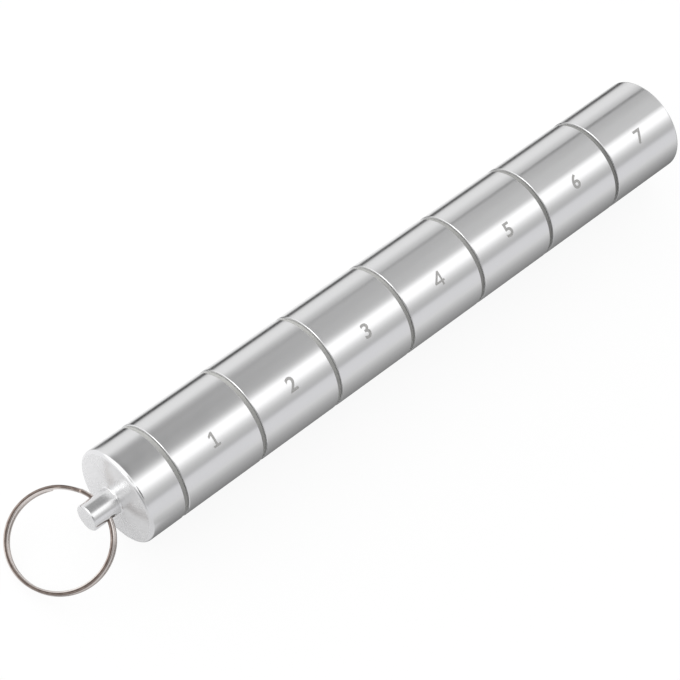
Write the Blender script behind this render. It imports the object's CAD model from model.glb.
"""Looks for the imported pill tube: satin aluminium sections, rubber seals and a nickel split ring.

Shapes are written in millimetres in the frame of a joint line, with +Z towards the cap, and are
put into the row frame in metres by at_joint(). The tube's axis is the row's X axis at 10 mm up.
"""

import math

import bmesh
import bpy
import numpy as np
from mathutils import Matrix, Vector


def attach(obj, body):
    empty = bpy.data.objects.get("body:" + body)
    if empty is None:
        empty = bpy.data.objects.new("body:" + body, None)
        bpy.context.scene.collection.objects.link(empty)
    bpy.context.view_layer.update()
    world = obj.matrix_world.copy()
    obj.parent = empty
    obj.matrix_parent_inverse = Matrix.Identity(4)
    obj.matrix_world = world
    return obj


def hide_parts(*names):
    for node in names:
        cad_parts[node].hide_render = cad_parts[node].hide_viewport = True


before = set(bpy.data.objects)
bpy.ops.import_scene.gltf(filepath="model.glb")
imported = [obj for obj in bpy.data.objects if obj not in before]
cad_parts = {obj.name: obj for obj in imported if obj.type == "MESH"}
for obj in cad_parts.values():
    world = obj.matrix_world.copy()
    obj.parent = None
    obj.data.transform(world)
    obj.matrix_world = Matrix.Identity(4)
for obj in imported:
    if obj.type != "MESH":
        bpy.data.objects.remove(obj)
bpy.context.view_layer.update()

MM = 0.001

# The tube's measures in millimetres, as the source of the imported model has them
BARREL_R = 10.0
CUP_PITCH = 19.4
LAST_CUP_L = 18.5
FLAT_END_X = 82.433
CUP_COUNT = 7
JOINT_GAP = 1.0
EDGE_CHAMFER = 0.1
FLAT_END_R = 0.4
CAP_L = 8.6
CAP_RIM_R = 0.8
CAP_DOME_H = 1.0
STEM_R = 2.75
STEM_L = 7.1
STEM_FILLET_R = 0.3
STEM_TIP_CHAMFER = 0.2
EYE_R = 1.3
EYE_Z = CAP_L + 3.3
EYE_X = FLAT_END_X - LAST_CUP_L - (CUP_COUNT - 1) * CUP_PITCH - EYE_Z
NECK_R = 8.15
CHAMBER_R = 7.3
RECESS_R = 8.9
RECESS_L = 4.6
NECK_TIP_Z = 4.7
MOUTH_CHAMFER = 0.25
FLOOR_T = 1.2
FLAT_END_T = 1.5
FLOOR_FILLET_R = 0.8
SKIRT_Z = JOINT_GAP / 2
SHOULDER_Z = -JOINT_GAP / 2
THREAD_PITCH = 1.2
THREAD_DEPTH = 0.5
THREAD_BITE = 0.15
THREAD_ROOT_W = 0.5
THREAD_CREST_W = 0.2
THREAD_TURNS = 64 / 24
THREAD_START_Z = 1.0
SEAL_INNER_R = 8.2
SEAL_OUTER_R = 9.6
SEAL_TOP_Z = 0.48
SEAL_EDGE_R = 0.15
RING_DROOP = math.radians(27.685)
WIRE_PATH_R = 9.8
RING_HALF_T = 0.925

# The ring's wire, and where it climbs to its upper turn, by the angle in degrees from the eye towards +Y
WIRE_W = 0.87
WIRE_T = 0.84
TURNS_APART = 0.02
STEP_ANGLE = 30.0
STEP_END = 60.0
# How far each turn of the ring lies out of line, towards the eye and towards +Y
LOWER_TURN_OFF = (0.04, -0.02)
UPPER_TURN_OFF = (-0.02, 0.25)
# The ring is handmade: a little longer than wide, and so much smaller than its path
RING_OVAL = 0.11
RING_OVAL_TURN = math.radians(320.0)
RING_SHRINK = 0.03
# How far the polish of the wire's flat faces lies out of their middle
POLISH_OFF = (-0.05, 0.03)

NUMERAL_H = 3.05
NUMERAL_TURN = math.radians(17.0)
NUMERAL_LIFT = 0.012
NUMERAL_SINK = 0.03
# Two numerals drawn here: the font's own 1 is a bare stroke, and its 4 fills up
DRAWN = {
    1: [[(-0.27, 0), (0.27, 0), (0.27, 0.14), (0.08, 0.14), (0.08, 1), (-0.05, 1), (-0.29, 0.83),
         (-0.29, 0.66), (-0.08, 0.79), (-0.08, 0.14), (-0.27, 0.14)]],
    4: [[(0.16, 0), (0.30, 0), (0.30, 0.23), (0.30, 0.36), (0.30, 1), (0.16, 1), (0.16, 0.76), (0.16, 0.36),
         (0.16, 0.23)],
        [(-0.36, 0.23), (0.16, 0.23), (0.16, 0.36), (-0.16, 0.36), (0.16, 0.76), (0.16, 1), (-0.36, 0.35)],
        [(0.30, 0.23), (0.42, 0.23), (0.42, 0.36), (0.30, 0.36)]],
}

# What the metal sees of the floor beside the tube, by the distance from its axis towards +Y in mm, and in
# front of the cap
FLOOR_SEEN = (
    (-160, 0.78), (-120, 0.73), (-68, 0.66), (-45, 0.57), (-33, 0.48), (-26, 0.43), (-22, 0.38), (-18, 0.34),
    (-14, 0.28), (-8, 0.20), (4, 0.20), (9, 0.85), (14, 1.00), (19.5, 0.97), (22.3, 0.55), (24.5, 0.12),
    (26.5, 0.06), (30.5, 0.06), (33.5, 0.26), (38, 0.70), (46, 0.84), (70, 0.90), (160, 0.90),
)
FRONT_SEEN = ((-10, 0.76), (-4, 0.80), (4, 0.94), (10, 1.0), (30, 1.0))
# Brightness of the studio by the angle around the tube's axis, from straight up towards -Y, in degrees
STUDIO = (
    (-100, 0.88), (-86, 0.86), (-79, 0.76), (-70, 0.62), (-62, 0.54), (-52, 0.535), (-40, 0.60), (-30, 0.67),
    (-20, 0.69), (-10, 0.68), (-3, 0.78), (2, 0.95), (7, 1.30), (25, 1.28), (34, 0.92), (44, 0.66),
    (54, 0.54), (60, 0.55), (63, 0.74), (72, 0.79), (100, 0.79),
)
STUDIO_TOP = 1.30
# From this angle on the studio is a little bluish
BLUE_FROM = 56
# Shades of the studio: how strong by the direction's X, and by the same angle in degrees
SHADES = (
    # Two thin dark seams between the softboxes, which only the far sections show
    (((0.505, 0), (0.535, 1)),
     ((-68, 0), (-65, 0.75), (-62, 0.75), (-59, 0), (-7, 0), (-5, 0.25), (-3, 0.25), (-1, 0))),
    # Towards -X the upper softboxes get darker, which the cap and its stem show
    (((0.36, 1), (0.39, 0.75), (0.435, 0)),
     ((-82, 0), (-68, 0.50), (-50, 0.50), (-36, 0.42), (-20, 0.35), (-8, 0.2), (-2, 0))),
    # The near sections show this side of the studio a little darker
    (((0.36, 1.05), (0.42, 0.80), (0.48, 0.62), (0.505, 0.40), (0.538, 0.1), (0.577, 0)),
     ((-50, 0), (-40, 0.16), (-32, 0.28), (-16, 0.30), (-8, 0.18), (1, 0))),
    # The studio's far end towards -X is dim on the side of -Y
    (((-0.80, 1), (-0.66, 0)),
     ((6, 0), (22, 0.45), (100, 0.45))),
)
# A bright panel overhead that only what leans towards the cap shows: edges, the cap's rim and the stem's tip
PANEL_LEAN = ((0.02, 1), (0.22, 0))
PANEL = ((-100, 0.5), (-84, 1), (-20, 1), (2, 0.6), (16, 0.1), (60, 0))
# A greyer patch near the photographer, which the key ring's flat faces show, and a dark one between the
# softboxes: direction, angles outside and inside the soft edge, and grey
PATCHES = (
    ((-0.566, 0.12, 0.814), 14, 8, 0.46),
    ((-0.20, -0.47, 0.86), 18, 12, 0.06),
)
# Light on matt surfaces from -Y and from +Y
MATT_LIGHT = (0.02, 1.38)


def make_camera():
    """The photograph's camera, from the joint lines and outlines of the tube in it."""
    right = (0.72127, -0.62339, 0.30194)
    up = (0.51261, 0.77356, 0.37260)
    back = (-0.46584, -0.11397, 0.87750)
    place = (-0.246888, -0.059528, 0.466493)
    data = bpy.data.cameras.new("camera")
    data.sensor_width = 36.0
    data.lens = 143.12
    data.clip_start = 0.01
    camera = bpy.data.objects.new("camera", data)
    bpy.context.scene.collection.objects.link(camera)
    rows = [[right[i], up[i], back[i], place[i]] for i in range(3)]
    camera.matrix_world = Matrix(rows + [[0, 0, 0, 1]])
    bpy.context.scene.camera = camera


def joint_x(day):
    """Where a cup's joint line crosses the row's X axis, in mm."""
    return FLAT_END_X - LAST_CUP_L - (CUP_COUNT - day) * CUP_PITCH


def at_joint(day, points):
    """Points of a joint line's own frame, in mm, in the row frame, in metres."""
    p = np.asarray(points, float).reshape(-1, 3)
    return np.c_[joint_x(day) - p[:, 2], p[:, 1], BARREL_R + p[:, 0]] * MM


def new_object(name, points, faces, smooth_angle=35.0):
    mesh = bpy.data.meshes.new(name)
    mesh.from_pydata([tuple(p) for p in points], [], faces)
    mesh.validate()
    mesh.shade_smooth()
    mesh.set_sharp_from_angle(angle=math.radians(smooth_angle))
    obj = bpy.data.objects.new(name, mesh)
    bpy.context.scene.collection.objects.link(obj)
    return obj


def rounded(corners, step=15.0, hold=0.05):
    """A section's corners (r, z, radius) as points: arcs, with a point just beyond each end."""
    points = []
    for i, (r, z, radius) in enumerate(corners):
        here = np.array([r, z])
        if radius <= 0 or i in (0, len(corners) - 1):
            points.append(here)
            continue
        back = np.array(corners[i - 1][:2]) - here
        ahead = np.array(corners[i + 1][:2]) - here
        back_l, ahead_l = np.linalg.norm(back), np.linalg.norm(ahead)
        back, ahead = back / back_l, ahead / ahead_l
        half = math.acos(max(-1.0, min(1.0, float(back @ ahead)))) / 2
        reach = radius / math.tan(half)
        middle = back + ahead
        centre = here + middle / np.linalg.norm(middle) * radius / math.sin(half)
        start, end = here + back * reach, here + ahead * reach
        turn = math.pi - 2 * half
        count = max(2, math.ceil(math.degrees(turn) / step))
        a0 = math.atan2(*(start - centre)[::-1])
        a1 = math.atan2(*(end - centre)[::-1])
        sweep = (a1 - a0 + math.pi) % (2 * math.pi) - math.pi
        if reach + hold < 0.45 * back_l:
            points.append(start + back * hold)
        for k in range(count + 1):
            a = a0 + sweep * k / count
            points.append(centre + radius * np.array([math.cos(a), math.sin(a)]))
        if reach + hold < 0.45 * ahead_l:
            points.append(end + ahead * hold)
    return points


def turned(section, segments=192, closed=False):
    """Points and faces of a section of (r, z) points turned around Z. An end on the axis is one point."""
    angles = np.arange(segments) * 2 * math.pi / segments
    ring = np.c_[np.cos(angles), np.sin(angles)]
    points, starts = [], []
    for r, z in section:
        starts.append((len(points), r > 1e-9))
        if r > 1e-9:
            points.extend([x * r, y * r, z] for x, y in ring)
        else:
            points.append([0.0, 0.0, z])
    faces = []
    nexts = starts[1:] + starts[:1] if closed else starts[1:]
    for (a, a_round), (b, b_round) in zip(starts, nexts):
        for j in range(segments):
            k = (j + 1) % segments
            if a_round and b_round:
                faces.append((a + j, a + k, b + k, b + j))
            elif b_round:
                faces.append((a, b + k, b + j))
            elif a_round:
                faces.append((a + j, a + k, b))
    return points, faces


def joined(parts):
    """Several lots of points and faces as one."""
    points, faces = [], []
    for p, f in parts:
        shift = len(points)
        points.extend(p)
        faces.extend(tuple(i + shift for i in face) for face in f)
    return points, faces


def swept(rings):
    """A closed tube through rings of points, each ring counter-clockwise seen against the way it is swept."""
    sides = len(rings[0])
    points = [p for ring in rings for p in ring]
    faces = [tuple(reversed(range(sides))), tuple(range(len(points) - sides, len(points)))]
    for i in range(len(rings) - 1):
        for j in range(sides):
            a, b = i * sides + j, i * sides + (j + 1) % sides
            faces.append((a, b, b + sides, a + sides))
    return points, faces


def thread(root_r, outward, start_z, steps_a_turn=96):
    """A right-handed ridge with a rounded crest that winds up a wall of radius root_r."""
    steps = round(THREAD_TURNS * steps_a_turn)
    fade = steps_a_turn / 6
    half_root = THREAD_ROOT_W / 2
    rings = []
    for i in range(steps + 1):
        angle = math.radians(7.5) + 2 * math.pi * i / steps_a_turn
        z = start_z + THREAD_PITCH * i / steps_a_turn
        share = min(1.0, (i + 1) / fade, (steps - i + 1) / fade)
        height = THREAD_DEPTH * share
        foot = root_r - outward * THREAD_BITE
        profile = [(foot, -half_root), (root_r, -half_root + 0.03)]
        for k in range(5):
            u = -1 + k / 2
            profile.append((root_r + outward * height * (1 - 0.12 * u * u), u * THREAD_CREST_W / 2))
        profile += [(root_r, half_root - 0.03), (foot, half_root)]
        if outward < 0:
            profile.reverse()
        c, s = math.cos(angle), math.sin(angle)
        rings.append([[r * c, r * s, z + dz] for r, dz in profile])
    return swept(rings)


def skirt_corners(base):
    return [
        (0, base + RECESS_L, 0),
        (RECESS_R, base + RECESS_L, 0.12),
        (RECESS_R, base + MOUTH_CHAMFER, 0.08),
        (RECESS_R + MOUTH_CHAMFER, base, 0.06),
        (BARREL_R - EDGE_CHAMFER, base, 0.05),
        (BARREL_R, base + EDGE_CHAMFER, 0.1),
    ]


def neck_corners(chamber_floor):
    return [
        (BARREL_R, SHOULDER_Z - EDGE_CHAMFER, 0.1),
        (BARREL_R - EDGE_CHAMFER, SHOULDER_Z, 0.05),
        (NECK_R, SHOULDER_Z, 0.1),
        (NECK_R, NECK_TIP_Z - MOUTH_CHAMFER, 0.08),
        (NECK_R - MOUTH_CHAMFER, NECK_TIP_Z, 0.06),
        (CHAMBER_R + MOUTH_CHAMFER, NECK_TIP_Z, 0.06),
        (CHAMBER_R, NECK_TIP_Z - MOUTH_CHAMFER, 0.08),
        (CHAMBER_R, chamber_floor, FLOOR_FILLET_R),
        (0, chamber_floor, 0),
    ]


def recess_thread(base_z):
    points, faces = thread(RECESS_R, -1, THREAD_START_Z + THREAD_PITCH / 2)
    return [[x, y, z + base_z] for x, y, z in points], faces


def make_cup(day):
    neck_thread = thread(NECK_R, 1, THREAD_START_Z)
    if day == CUP_COUNT:
        base = -LAST_CUP_L
        corners = [(0, base, 0), (BARREL_R, base, FLAT_END_R)] + neck_corners(base + FLAT_END_T)
        parts = [turned(rounded(corners)), neck_thread]
    else:
        base = SKIRT_Z - CUP_PITCH
        corners = skirt_corners(base) + neck_corners(base + RECESS_L + FLOOR_T)
        parts = [turned(rounded(corners)), neck_thread, recess_thread(-CUP_PITCH)]
    points, faces = joined(parts)
    return new_object(f"cup_{day}_metal", at_joint(day, points), faces)


def make_seal(day):
    loop = [
        (SEAL_INNER_R, SEAL_TOP_Z, 0.05),
        (SEAL_INNER_R, -SEAL_TOP_Z, 0.05),
        (SEAL_OUTER_R, -SEAL_TOP_Z, SEAL_EDGE_R),
        (SEAL_OUTER_R, SEAL_TOP_Z, SEAL_EDGE_R),
    ]
    # rounded() leaves its first and last corner as they are, so the loop overlaps itself by one
    section = rounded([loop[-1]] + loop + [loop[0]])[1:-1]
    points, faces = turned(section, closed=True)
    return new_object(f"seal_{day}_rubber", at_joint(day, points), faces, 60)


def apply_modifiers(obj):
    graph = bpy.context.evaluated_depsgraph_get()
    mesh = bpy.data.meshes.new_from_object(obj.evaluated_get(graph))
    obj.modifiers.clear()
    obj.data = mesh


def arc(centre, radius, start, end, count):
    angles = np.linspace(start, end, count + 1)
    return [np.array([centre[0] + radius * math.cos(a), centre[1] + radius * math.sin(a)]) for a in angles]


def cap_face():
    """The cap's outside from its barrel over the rim and the domed face to the stem's foot."""
    dome_r = (BARREL_R ** 2 + CAP_DOME_H ** 2) / (2 * CAP_DOME_H)
    dome_z = CAP_L + CAP_DOME_H - dome_r
    rim_r = BARREL_R - CAP_RIM_R
    rim_rise = math.sqrt((dome_r - CAP_RIM_R) ** 2 - rim_r ** 2)
    foot_r = STEM_R + STEM_FILLET_R
    foot_rise = math.sqrt((dome_r + STEM_FILLET_R) ** 2 - foot_r ** 2)
    rim_angle, foot_angle = math.atan2(rim_rise, rim_r), math.atan2(foot_rise, foot_r)
    rim = arc((rim_r, dome_z + rim_rise), CAP_RIM_R, 0, rim_angle, 10)
    dome = arc((0, dome_z), dome_r, rim_angle, foot_angle, 24)
    foot = arc((foot_r, dome_z + foot_rise), STEM_FILLET_R, foot_angle + math.pi, math.pi, 7)
    return rim + dome[1:-1] + foot


def make_cap():
    tip = CAP_L + STEM_L
    skirt = rounded(skirt_corners(SKIRT_Z) + [(BARREL_R, CAP_L - 2 * CAP_RIM_R, 0)])
    # rounded() keeps its first and last corner as they are: here points of the stem's wall and of its tip
    stem = rounded([
        (STEM_R, tip - 1.0, 0),
        (STEM_R, tip - STEM_TIP_CHAMFER, 0.1),
        (STEM_R - STEM_TIP_CHAMFER, tip, 0.08),
        (0, tip, 0),
    ])
    points, faces = joined([turned(skirt + cap_face() + stem), recess_thread(0)])
    cap = new_object("end_cap_metal", at_joint(1, points), faces)
    # The eye's drill, with the edge just broken where it leaves the stem on either side
    flare = [(0, -4), (EYE_R + 0.35, -4), (EYE_R, -2.5), (EYE_R, 2.5), (EYE_R + 0.35, 4), (0, 4)]
    points, faces = turned(flare, 96)
    points = [[x, z, EYE_Z - y] for x, y, z in points]
    drill = new_object("drill", at_joint(1, points), faces)
    cut = cap.modifiers.new("eye", "BOOLEAN")
    cut.operation = "DIFFERENCE"
    cut.solver = "EXACT"
    cut.object = drill
    apply_modifiers(cap)
    bpy.data.objects.remove(drill)
    cap.data.shade_smooth()
    cap.data.set_sharp_from_angle(angle=math.radians(35))
    return cap


def wire_side(share, width, power=0.6):
    """One coordinate of a rounded, slightly flattened section, from the same one of a unit circle."""
    return math.copysign(abs(share) ** power, share) * width / 2


def make_key_ring():
    """Two turns of flattened wire that press together, with the step between them beside the eye."""
    rise_low = -RING_HALF_T + WIRE_T / 2
    rise_step = WIRE_T + TURNS_APART
    sides, count = 24, 460
    total = 720.0 - STEP_ANGLE
    rings = []
    for i in range(count + 1):
        a = total * i / count
        climb = min(1.0, max(0.0, (a - 360 + STEP_ANGLE) / STEP_ANGLE))
        share = climb * climb * (3 - 2 * climb)
        rise = rise_low + rise_step * share
        off_x, off_y = np.array(LOWER_TURN_OFF) * (1 - share) + np.array(UPPER_TURN_OFF) * share
        end = min(a, total - a)
        taper = min(1.0, 0.55 + 0.45 * math.sqrt(min(1.0, end / 2.5)))
        angle = math.radians(STEP_END + a)
        c, s = math.cos(angle), math.sin(angle)
        oval = RING_OVAL * math.cos(2 * angle - RING_OVAL_TURN) - RING_SHRINK
        ring = []
        for k in range(sides):
            t = 2 * math.pi * k / sides
            u = wire_side(math.cos(t), WIRE_W) * taper
            v = wire_side(math.sin(t), WIRE_T) * taper
            r = WIRE_PATH_R + u + oval
            ring.append([r * c + off_x, r * s + off_y, rise + v])
        rings.append(ring)
    points, faces = swept(rings)
    # From its own plane to the joint line's frame, where the eye's axis is Y, and it hangs down to the floor
    p = np.array(points) - [WIRE_PATH_R, 0, 0]
    tilt = math.pi / 2 - RING_DROOP
    x = p[:, 0] * math.cos(tilt) + p[:, 2] * math.sin(tilt)
    z = -p[:, 0] * math.sin(tilt) + p[:, 2] * math.cos(tilt)
    points = np.c_[x, p[:, 1], z + EYE_Z]
    return new_object("key_ring_wire", at_joint(1, points), faces, 60)


def written_numeral(day):
    """A mesh of the font's numeral."""
    data = bpy.data.curves.new("numeral", "FONT")
    data.body = str(day)
    data.align_x = "CENTER"
    data.resolution_u = 8
    data.offset = 0.022
    text = bpy.data.objects.new("numeral", data)
    bpy.context.scene.collection.objects.link(text)
    graph = bpy.context.evaluated_depsgraph_get()
    flat = bpy.data.meshes.new_from_object(text.evaluated_get(graph))
    bpy.data.objects.remove(text)
    return flat


def flat_numeral(day):
    """A numeral in the plane, centred and NUMERAL_H high, cut into strips that can follow the barrel."""
    grid = bmesh.new()
    if day in DRAWN:
        for outline in DRAWN[day]:
            grid.faces.new([grid.verts.new((x, y, 0)) for x, y in outline])
    else:
        grid.from_mesh(written_numeral(day))
    grid.normal_update()
    bmesh.ops.triangulate(grid, faces=grid.faces)
    low = min(v.co.y for v in grid.verts)
    high = max(v.co.y for v in grid.verts)
    left = min(v.co.x for v in grid.verts)
    right = max(v.co.x for v in grid.verts)
    scale = NUMERAL_H / (high - low)
    for v in grid.verts:
        v.co.x = (v.co.x - (left + right) / 2) * scale
        v.co.y = (v.co.y - (low + high) / 2) * scale
        v.co.z = 0
    bmesh.ops.remove_doubles(grid, verts=grid.verts, dist=1e-5)
    strips = 12
    for k in range(1, strips):
        cut = -NUMERAL_H / 2 + NUMERAL_H * k / strips
        everything = grid.verts[:] + grid.edges[:] + grid.faces[:]
        bmesh.ops.bisect_plane(grid, geom=everything, dist=1e-6, plane_co=(0, cut, 0), plane_no=(0, 1, 0))
    bmesh.ops.recalc_face_normals(grid, faces=grid.faces)
    if sum(f.normal.z for f in grid.faces) < 0:
        bmesh.ops.reverse_faces(grid, faces=grid.faces)
    grid.verts.index_update()
    return grid


def make_numeral(day):
    """A plain etched numeral in the middle of a cup, curved to the barrel, reading from the cap."""
    grid = flat_numeral(day)
    count = len(grid.verts)
    section_l = LAST_CUP_L if day == CUP_COUNT else CUP_PITCH
    x_mid = joint_x(day) + section_l / 2
    points = []
    for r in (BARREL_R + NUMERAL_LIFT, BARREL_R - NUMERAL_SINK):
        for v in grid.verts:
            a = NUMERAL_TURN - v.co.y / BARREL_R
            points.append([(x_mid + v.co.x) * MM, -r * math.sin(a) * MM, (BARREL_R + r * math.cos(a)) * MM])
    faces = []
    for f in grid.faces:
        loop = [v.index for v in f.verts]
        faces.append(tuple(loop))
        faces.append(tuple(i + count for i in reversed(loop)))
    for e in grid.edges:
        if len(e.link_faces) == 1:
            loop = e.link_loops[0]
            a, b = loop.vert.index, loop.link_loop_next.vert.index
            faces.append((b, a, a + count, b + count))
    grid.free()
    return new_object(f"numeral_{day}", points, faces, 40)


class Tree:
    """Short ways to add nodes to a material or a world. An input is given as a socket or as a plain value."""

    def __init__(self, owner):
        owner.use_nodes = True
        self.nodes = owner.node_tree.nodes
        self.links = owner.node_tree.links

    def feed(self, node, **values):
        """Inputs by name, with _ for a space."""
        for name, value in values.items():
            self.feed_socket(node.inputs[name.replace("_", " ")], value)
        return node

    def feed_socket(self, socket, value):
        if isinstance(value, bpy.types.NodeSocket):
            self.links.new(value, socket)
        else:
            socket.default_value = value

    def operated(self, kind, operation, values):
        node = self.nodes.new(kind)
        node.operation = operation
        for socket, value in zip(node.inputs, values):
            self.feed_socket(socket, value)
        return node

    def math(self, operation, *values):
        return self.operated("ShaderNodeMath", operation, values).outputs[0]

    def vector(self, operation, *values):
        """A vector from vectors."""
        return self.operated("ShaderNodeVectorMath", operation, values).outputs["Vector"]

    def measure(self, operation, *values):
        """A number from vectors."""
        return self.operated("ShaderNodeVectorMath", operation, values).outputs["Value"]

    def coordinates(self, kind):
        return self.nodes.new("ShaderNodeTexCoord").outputs[kind]

    def split(self, vector):
        return self.feed(self.nodes.new("ShaderNodeSeparateXYZ"), Vector=vector).outputs

    def combined(self, x, y):
        return self.feed(self.nodes.new("ShaderNodeCombineXYZ"), X=x, Y=y).outputs[0]

    def ranged(self, value, low, high, to_low=0.0, to_high=1.0, smooth=False):
        node = self.nodes.new("ShaderNodeMapRange")
        node.interpolation_type = "SMOOTHSTEP" if smooth else "LINEAR"
        return self.feed(
            node, Value=value, From_Min=low, From_Max=high, To_Min=to_low, To_Max=to_high).outputs[0]

    def noise(self, vector, scale, detail):
        node = self.nodes.new("ShaderNodeTexNoise")
        return self.feed(node, Vector=vector, Scale=scale, Detail=detail).outputs["Fac"]

    def tones(self, source, low, dark, high, light):
        """A colour between two, over a source from low to high."""
        ramp = self.nodes.new("ShaderNodeValToRGB")
        first, last = ramp.color_ramp.elements
        first.position, last.position = low, high
        first.color, last.color = (*dark, 1), (*light, 1)
        return self.feed(ramp, Fac=source).outputs[0]

    def ramp(self, source, low, high, stops):
        """Greys or colours over a value from low to high, through (value, tone) stops."""
        ramp = self.nodes.new("ShaderNodeValToRGB")
        elements = ramp.color_ramp.elements
        while len(elements) > 1:
            elements.remove(elements[-1])
        for i, (value, tone) in enumerate(stops):
            position = (value - low) / (high - low)
            element = elements[0] if i == 0 else elements.new(position)
            element.position = position
            element.color = (*tone, 1) if isinstance(tone, tuple) else (tone, tone, tone, 1)
        return self.feed(ramp, Fac=self.ranged(source, low, high)).outputs[0]

    def mix(self, kind, factor, first, second, blend="MIX"):
        node = self.nodes.new("ShaderNodeMix")
        node.data_type = kind
        node.blend_type = blend
        return self.feed(node, Factor=factor, A=first, B=second).outputs["Result"]

    def bump(self, height, strength, distance):
        node = self.nodes.new("ShaderNodeBump")
        return self.feed(node, Height=height, Strength=strength, Distance=distance).outputs[0]

    def shader_mix(self, factor, first, second):
        node = self.nodes.new("ShaderNodeMixShader")
        for socket, value in zip(node.inputs, (factor, first, second)):
            self.links.new(value, socket)
        return node.outputs[0]


def new_material(name):
    material = bpy.data.materials.new(name)
    tree = Tree(material)
    return material, tree, tree.nodes["Principled BSDF"]


def lathe_lines(tree, place, scale=9000.0):
    """A vector that runs along the tube and outward from its axis, so that noise in it is lathe rings."""
    axes = tree.split(place)
    outward = tree.combined(axes["Y"], tree.math("SUBTRACT", axes["Z"], BARREL_R * MM))
    radius = tree.measure("LENGTH", outward)
    return tree.combined(tree.math("MULTIPLY", axes["X"], scale), tree.math("MULTIPLY", radius, scale))


def satin_metal(name, metallic, anisotropic, rough_low, rough_high, bump_strength):
    """Turned aluminium. Its lathe lines run round the tube, and on an end face round the middle."""
    material, tree, shader = new_material(name)
    place = tree.coordinates("Object")
    fine = tree.noise(lathe_lines(tree, place), 1.0, 3.0)
    cloud = tree.noise(place, 260.0, 4.0)
    tangent = tree.nodes.new("ShaderNodeTangent")
    tangent.direction_type = "RADIAL"
    tangent.axis = "X"
    tree.feed(
        shader,
        Base_Color=tree.tones(fine, 0.35, (0.79, 0.79, 0.795), 0.65, (0.83, 0.83, 0.835)),
        Metallic=metallic,
        Roughness=tree.ranged(cloud, 0.0, 1.0, rough_low, rough_high),
        Normal=tree.bump(fine, bump_strength, 0.00001),
        # The tangent runs round the axis, and a quarter turn spreads the gloss across the lathe lines
        Anisotropic=anisotropic,
        Anisotropic_Rotation=0.25,
        Tangent=tangent.outputs[0])
    return material


def drilled_wall():
    """The wall of the eye, left dull by the drill."""
    material, tree, shader = new_material("drilled_wall")
    tree.feed(shader, Base_Color=(0.60, 0.60, 0.595, 1), Metallic=1.0, Roughness=0.45)
    return material


def seal_rubber():
    material, tree, shader = new_material("seal_rubber")
    place = tree.coordinates("Object")
    grain = tree.noise(place, 3000.0, 4.0)
    tone = tree.tones(grain, 0.3, (0.52, 0.52, 0.50), 0.7, (0.58, 0.58, 0.56))
    # The seals of the far sections are darker, as if from another batch
    batch = tree.ramp(tree.split(place)["X"], -0.010, 0.064, ((-0.010, 1), (0.064, 0.62)))
    tree.feed(
        shader,
        Base_Color=tree.mix("RGBA", 1.0, tone, batch, "MULTIPLY"),
        Roughness=0.5,
        Normal=tree.bump(grain, 0.2, 0.00002))
    return material


def ring_nickel():
    """Dull nickel on the wire's flat faces, rubbed bright on its shoulders and where keys are fed on."""
    material, tree, shader = new_material("ring_nickel")
    place = tree.coordinates("Object")
    # The ring's own plane, with the ring's centre as its origin
    reach, drop = WIRE_PATH_R * math.cos(RING_DROOP), WIRE_PATH_R * math.sin(RING_DROOP)
    plane = tree.nodes.new("ShaderNodeMapping")
    plane.vector_type = "TEXTURE"
    in_plane = tree.feed(
        plane,
        Vector=place,
        Location=tuple(at_joint(1, [[-drop, 0, EYE_Z + reach]])[0]),
        Rotation=(0, -RING_DROOP, 0)).outputs[0]
    upper = tree.ranged(tree.split(in_plane)["Z"], -0.00005, 0.0003)
    lower_off, upper_off = (
        (*((np.array(off) + POLISH_OFF) * MM), 0) for off in (LOWER_TURN_OFF, UPPER_TURN_OFF))
    off = tree.mix("VECTOR", upper, lower_off, upper_off)
    from_middle = tree.measure("DISTANCE", tree.vector("MULTIPLY", in_plane, (1, 1, 0)), off)
    worn = tree.ramp(from_middle, 0.0090, 0.0106, [
        ((WIRE_PATH_R + dr) * MM, tone) for dr, tone in (
            (-0.42, 1), (-0.30, 0.5), (-0.22, 0), (0.18, 0), (0.27, 0.4), (0.38, 0.9))])
    # The lower turn, which lies on tables, is rubbed all over, up to where it climbs
    towards_step = tree.measure("DOT_PRODUCT", in_plane, (math.sqrt(0.5), math.sqrt(0.5), 0))
    spared = tree.math("MAXIMUM", upper, tree.ranged(towards_step, 0.0085, 0.0089))
    rub = tree.mix("FLOAT", spared, 0.48, worn)
    wear = tree.noise(place, 900.0, 5.0)
    dull = tree.tones(wear, 0.3, (0.16, 0.125, 0.11), 0.7, (0.27, 0.22, 0.195))
    tree.feed(
        shader,
        Base_Color=tree.mix("RGBA", rub, dull, (0.80, 0.75, 0.72, 1)),
        Metallic=1.0,
        Roughness=tree.ranged(wear, 0.0, 1.0, 0.10, 0.20))
    return material


def etched_mark():
    material, tree, shader = new_material("etched_mark")
    grain = tree.noise(tree.coordinates("Object"), 6000.0, 3.0)
    tone = tree.tones(grain, 0.3, (0.52, 0.515, 0.505), 0.7, (0.60, 0.595, 0.58))
    tree.feed(shader, Base_Color=tone, Metallic=0.35, Roughness=0.6)
    return material


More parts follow.
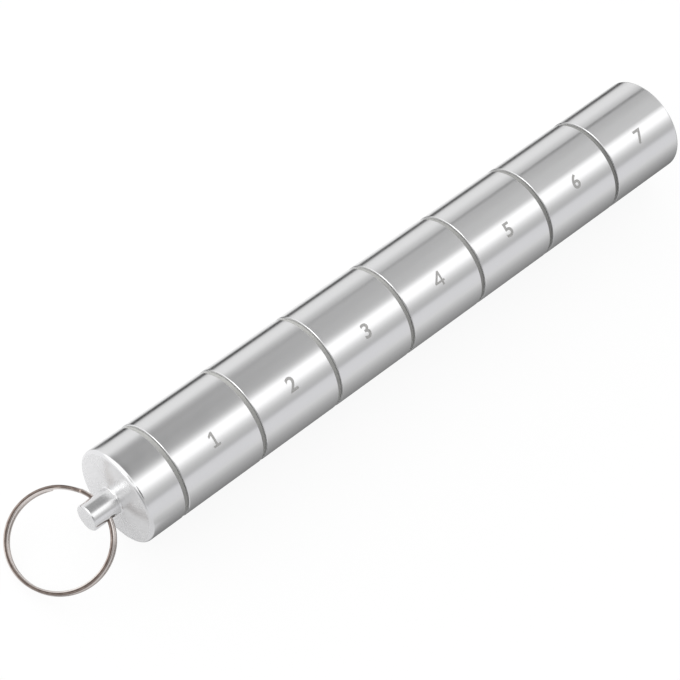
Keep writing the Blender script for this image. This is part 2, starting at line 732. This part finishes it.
def make_floor():
    """A white floor. The camera sees it as mostly its own white, with the object's shadow on it."""
    size, z = 3.0, -0.00002
    corners = [(-size, -size, z), (size, -size, z), (size, size, z), (-size, size, z)]
    floor = new_object("floor", corners, [(0, 1, 2, 3)])
    material, tree, shader = new_material("floor_white")
    nodes = tree.nodes
    nodes.remove(shader)
    matt = tree.feed(nodes.new("ShaderNodeBsdfDiffuse"), Color=(0.95, 0.95, 0.95, 1))
    # For the camera it glows a little short of white, and a faint matt coat makes up the rest where it is lit
    white = tree.feed(nodes.new("ShaderNodeEmission"), Strength=0.9)
    coat = tree.feed(nodes.new("ShaderNodeBsdfDiffuse"), Color=(0.143, 0.143, 0.143, 1))
    own = nodes.new("ShaderNodeAddShader")
    tree.links.new(white.outputs[0], own.inputs[0])
    tree.links.new(coat.outputs[0], own.inputs[1])
    place = tree.split(nodes.new("ShaderNodeNewGeometry").outputs["Position"])
    # Towards either end of the tube the dark strip beyond it draws nearer
    along = tree.math("MULTIPLY_ADD", place["X"], 1.0, -0.010)
    far_y = tree.math("MULTIPLY_ADD", tree.math("MULTIPLY", along, along), 0.55, place["Y"])
    beside = tree.ramp(far_y, -0.16, 0.16, [(y * MM, tone) for y, tone in FLOOR_SEEN])
    front = tree.ramp(place["Y"], -0.16, 0.16, [(y * MM, (v, v, v * 1.01)) for y, v in FRONT_SEEN])
    # In front of the cap the floor is light, and the tube's shade begins further back away from its axis
    spread = tree.ranged(tree.math("ABSOLUTE", place["Y"]), 0.014, 0.034, 0.0, 0.012)
    back = tree.math("SUBTRACT", place["X"], spread)
    behind = tree.ranged(back, -0.063, -0.057, smooth=True)
    seen = tree.feed(
        nodes.new("ShaderNodeEmission"), Color=tree.mix("RGBA", behind, front, beside), Strength=1.0)
    path = nodes.new("ShaderNodeLightPath").outputs
    for_camera = tree.shader_mix(path["Is Camera Ray"], matt.outputs[0], own.outputs[0])
    for_gloss = tree.shader_mix(path["Is Glossy Ray"], for_camera, seen.outputs[0])
    tree.links.new(for_gloss, nodes["Material Output"].inputs["Surface"])
    floor.data.materials.append(material)


def make_world():
    """Soft bands round the tube's axis for gloss, soft light for matt surfaces, and white for the camera."""
    world = bpy.data.worlds.new("studio")
    bpy.context.scene.world = world
    tree = Tree(world)
    direction = tree.coordinates("Generated")
    axes = tree.split(direction)
    angle = tree.math("ARCTAN2", tree.math("MULTIPLY", axes["Y"], -1.0), axes["Z"])

    def by_angle(stops):
        stops = [(math.radians(degrees), tone) for degrees, tone in stops]
        return tree.ramp(angle, math.radians(-100), math.radians(100), stops)

    def by_x(stops):
        return tree.ramp(axes["X"], -1.0, 1.0, stops)

    bands = []
    for degrees, value in STUDIO:
        v = value / STUDIO_TOP
        bands.append((degrees, (v, v, v * (1.02 if degrees > BLUE_FROM else 1.0))))
    look = by_angle(bands)
    shade = None
    for x_stops, angle_stops in SHADES:
        product = tree.math("MULTIPLY", by_x(x_stops), by_angle(angle_stops))
        shade = product if shade is None else tree.math("ADD", shade, product)
    look = tree.mix("RGBA", shade, look, (0, 0, 0, 1))
    lit = tree.math("MULTIPLY", by_x(PANEL_LEAN), by_angle(PANEL))
    look = tree.mix("RGBA", lit, look, (1, 1, 1, 1))
    for centre, outside, inside, grey in PATCHES:
        facing = tree.measure("DOT_PRODUCT", direction, centre)
        edges = math.cos(math.radians(outside)), math.cos(math.radians(inside))
        look = tree.mix("RGBA", tree.ranged(facing, *edges, smooth=True), look, (grey, grey, grey, 1))
    matt = tree.ramp(axes["Y"], -1.0, 1.0, [
        (y, light / STUDIO_TOP) for y, light in zip((-1.0, 1.0), MATT_LIGHT)])
    path = tree.nodes.new("ShaderNodeLightPath").outputs
    look = tree.mix("RGBA", path["Is Glossy Ray"], matt, look)
    white = 1 / STUDIO_TOP
    look = tree.mix("RGBA", path["Is Camera Ray"], look, (white, white, white, 1))
    tree.feed(tree.nodes["Background"], Color=look, Strength=STUDIO_TOP)


def make_lamp(name, direction, distance, width, height, radiance):
    """A softbox that faces the tube's middle, as bright as a panel of that radiance."""
    data = bpy.data.lights.new(name, "AREA")
    data.shape = "RECTANGLE"
    data.size, data.size_y = width, height
    data.energy = radiance * math.pi * width * height
    lamp = bpy.data.objects.new(name, data)
    bpy.context.scene.collection.objects.link(lamp)
    away = Vector(direction).normalized()
    lamp.location = away * distance
    lamp.rotation_euler = away.to_track_quat("Z", "Y").to_euler()


bpy.context.scene.view_settings.view_transform = "Standard"
make_camera()
make_floor()
make_world()
make_lamp("key", (-0.75, 0.50, 0.43), 0.8, 0.45, 0.30, 1.6)

metal = satin_metal("satin_metal", 1.0, 0.7, 0.15, 0.23, 0.12)
face_metal = satin_metal("satin_face_metal", 0.5, 0.1, 0.24, 0.30, 0.12)
rubber, nickel, etched, drilled = seal_rubber(), ring_nickel(), etched_mark(), drilled_wall()


def put(obj, body, material, node=None):
    obj.data.materials.clear()
    obj.data.materials.append(material)
    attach(obj, body)
    if node:
        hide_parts(node)
    if material is metal:
        obj.data.materials.append(face_metal)
        obj.data.materials.append(drilled)
        for polygon in obj.data.polygons:
            x, _, z = polygon.center
            off = math.hypot(x - EYE_X * MM, z - BARREL_R * MM)
            polygon.material_index = 2 if off < (EYE_R + 0.02) * MM else int(abs(polygon.normal.x) > 0.95)


put(make_cap(), "cap", metal, "end_cap")
put(make_key_ring(), "ring", nickel, "key_ring")
for day in range(1, CUP_COUNT + 1):
    put(make_cup(day), f"cup_{day}", metal, f"cup_{day}")
    put(make_seal(day), f"seal_{day}", rubber, f"seal_{day}")
    put(make_numeral(day), f"cup_{day}", etched)
